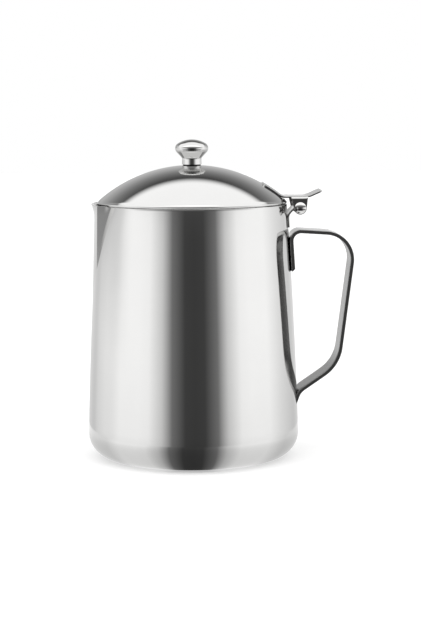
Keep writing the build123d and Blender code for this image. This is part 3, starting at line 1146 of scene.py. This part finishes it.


# Floor close to the jug as its base mirrors it, in metres: a glowing disc seen only in reflections that
# stands in for the lit floor, with a painted shadow near the base
near_floor_radius = 0.145
near_floor_drop = 0.0001
near_source = 0.055
near_fade_start = 0.050
near_fade_end = 0.130
near_shadow_tone = 0.66
far_tone = 0.89
left_limit = 0.62
right_limit_rise = 0.06
limit_blend = 0.03
near_paint, near_wires = new_paint("near_floor")
near_place = near_wires.add("ShaderNodeTexCoord", {}, {}, "Object")
near_spot = near_wires.add("ShaderNodeSeparateXYZ", {}, {0: near_place})
near_x, near_y = near_spot.pick("X"), near_spot.pick("Y")
near_turn = (near_x.math("ARCTAN2", -near_y) + radians(jug_turn)).math("ABSOLUTE")
near_radius = (near_x * near_x + near_y * near_y) ** 0.5
near_spread = near_radius * 2.0 / (near_radius * 2.0 - near_source).math("MAXIMUM", nearly_zero)
near_limit = soft_step(near_x, -limit_blend, limit_blend) * right_limit_rise + left_limit
near_bearing = (near_turn * near_spread / pi).math("MINIMUM", near_limit)
# Painted shadow: the disc is darker close to the jug's base and lighter further out
fading = {0: near_radius, 1: near_fade_start, 2: near_fade_end, 3: near_shadow_tone, 4: far_tone}
near_shadow_fade = near_wires.add("ShaderNodeMapRange", {}, fading)
near_level = wall_light(near_wires, near_bearing) * near_shadow_fade
near_glow = near_wires.add("ShaderNodeEmission", {}, {"Color": near_level, "Strength": room_level})
near_wires.add("ShaderNodeOutputMaterial", {}, {"Surface": near_glow})
near_shape = bmesh.new()
bmesh.ops.create_circle(near_shape, cap_ends=True, segments=96, radius=near_floor_radius)
near_mesh = bpy.data.meshes.new("near_floor")
near_shape.to_mesh(near_mesh)
near_shape.free()
near_mesh.transform(Matrix.Translation((0.0, 0.0, -near_floor_drop)))
near_mesh.materials.append(near_paint)
near_floor = put_in_scene("near_floor", near_mesh)
near_floor.visible_camera = False
near_floor.visible_diffuse = False
near_floor.visible_shadow = False

# Studio: pale walls that darken behind the camera and upwards, a pale floor, and one soft panel overhead
stripe_shift = 0.5
left_side_gain = 0.09
upper_left_loss = 0.22
front_share = 0.9
front_low_tone = 0.09
front_tone_rise = 0.19
low_behind_loss = 0.7
low_ahead_loss = 0.85
high_behind_loss = 0.35
low_front_level = 0.85
panel_front_gain = 0.4
panel_lowest = 0.02
climb_stops = (
    (0.0, 0.62),
    (0.35, 0.76),
    (0.42, 0.89),
    (0.455, 0.97),
    (0.48, 1.0),
    (0.62, 0.98),
    (0.70, 0.80),
    (0.78, 0.45),
    (0.86, 0.14),
    (1.0, 0.12),
)
studio = bpy.data.worlds.new("studio")
bpy.context.scene.world = studio
studio.use_nodes = True
studio.node_tree.nodes.clear()
room = Wiring(studio.node_tree)
way = room.add("ShaderNodeTexCoord", {}, {}, "Generated")
part = room.add("ShaderNodeSeparateXYZ", {}, {0: way})
way_x, way_y, way_z = part.pick("X"), part.pick("Y"), part.pick("Z")
bearing = (way_x.math("ARCTAN2", -way_y) - radians(stripe_shift)).math("ABSOLUTE") / pi
# The bearing is 0 behind the camera and 1 behind the jug; way_z is -1 straight down and 1 straight up
on_left = way_x.math("LESS_THAN", 0.0)
fade = room.add("ShaderNodeValToRGB", {"stops": climb_stops}, {"Fac": way_z * 0.5 + 0.5})

# Walls: lighter on the left beside the jug, darker a little above that
left_side = zone(bearing, 0.55, 0.66, 0.72, 0.82) * on_left * left_side_gain
upper_left = zone(bearing, 0.42, 0.56, 0.94, 1.0) * on_left * zone(way_z, -0.1, 0.02, 0.08, 0.2)
walls = (wall_light(room, bearing) + left_side) * fade * (1.0 - upper_left * upper_left_loss)

# Upper wall on the camera's side, darkest low down
in_front = soft_step(bearing, 0.5, 0.36) * soft_step(way_z, 0.05, 0.14) * front_share
front_tone = soft_step(way_z, 0.24, 0.42) * front_tone_rise + front_low_tone
around = walls + (front_tone - walls) * in_front

# Dark zones behind the jug and low on the camera's side
low_behind = soft_step(bearing, 0.72, 0.86) * soft_step(way_z, -0.32, -0.5) * low_behind_loss
high_behind = soft_step(bearing, 0.55, 0.8) * soft_step(way_z, 0.0, 0.12) * high_behind_loss
low_ahead = soft_step(bearing, 0.44, 0.32) * zone(way_z, -0.42, -0.34, -0.23, -0.17) * low_ahead_loss
around = around * (1.0 - low_behind) * (1.0 - high_behind) * (1.0 - low_ahead)

# Floor in front, and the panel overhead, brighter over the camera
low_front = soft_step(way_z, -0.5, -0.62) * soft_step(bearing, 0.5, 0.4) * low_front_level
upwards = way_z.math("MAXIMUM", nearly_zero)
lean = way_y / upwards
aside = way_x.math("ABSOLUTE") / upwards
overhead = zone(lean, -2.2, -0.6, 0.64, 0.98) * soft_step(aside, 6.0, 3.0)
overhead = overhead * way_z.math("GREATER_THAN", panel_lowest)
panel_front = soft_step(lean, -0.35, -0.55) * soft_step(aside, 2.0, 1.2)
panel = overhead * (1.0 + panel_front * panel_front_gain)
level = around.math("MAXIMUM", low_front).math("MAXIMUM", panel)
light = room.add("ShaderNodeBackground", {}, {"Color": level, "Strength": room_level})
white = room.add("ShaderNodeBackground", {}, {"Color": (1.0, 1.0, 1.0, 1.0), "Strength": 1.0})
camera_ray = room.add("ShaderNodeLightPath", {}, {}, "Is Camera Ray")
shown = room.add("ShaderNodeMixShader", {}, {0: camera_ray, 1: light, 2: white})
room.add("ShaderNodeOutputWorld", {}, {"Surface": shown})

# Camera, turned about the jug's axis by the small angle at which the jug stood to it
lens_pixels = 1941.4
image_height = 631
sensor_height = 36.0
camera_side = 10.08
camera_distance = 1100.0
camera_height = 206.1
camera_tilt = 6.516
camera_roll = 0.328
camera_data = bpy.data.cameras.new("camera")
camera_data.sensor_fit = "VERTICAL"
camera_data.sensor_height = sensor_height
camera_data.lens = sensor_height * lens_pixels / image_height
camera_data.clip_start = 0.05
camera_data.clip_end = 50.0
camera = put_in_scene("camera", camera_data)
camera.matrix_world = (
    Matrix.Rotation(radians(-jug_turn), 4, "Z")
    @ Matrix.Translation((camera_side * MM, -camera_distance * MM, camera_height * MM))
    @ Matrix.Rotation(radians(90 - camera_tilt), 4, "X")
    @ Matrix.Rotation(radians(-camera_roll), 4, "Z")
)
bpy.context.scene.camera = camera
bpy.context.scene.view_settings.view_transform = "Standard"
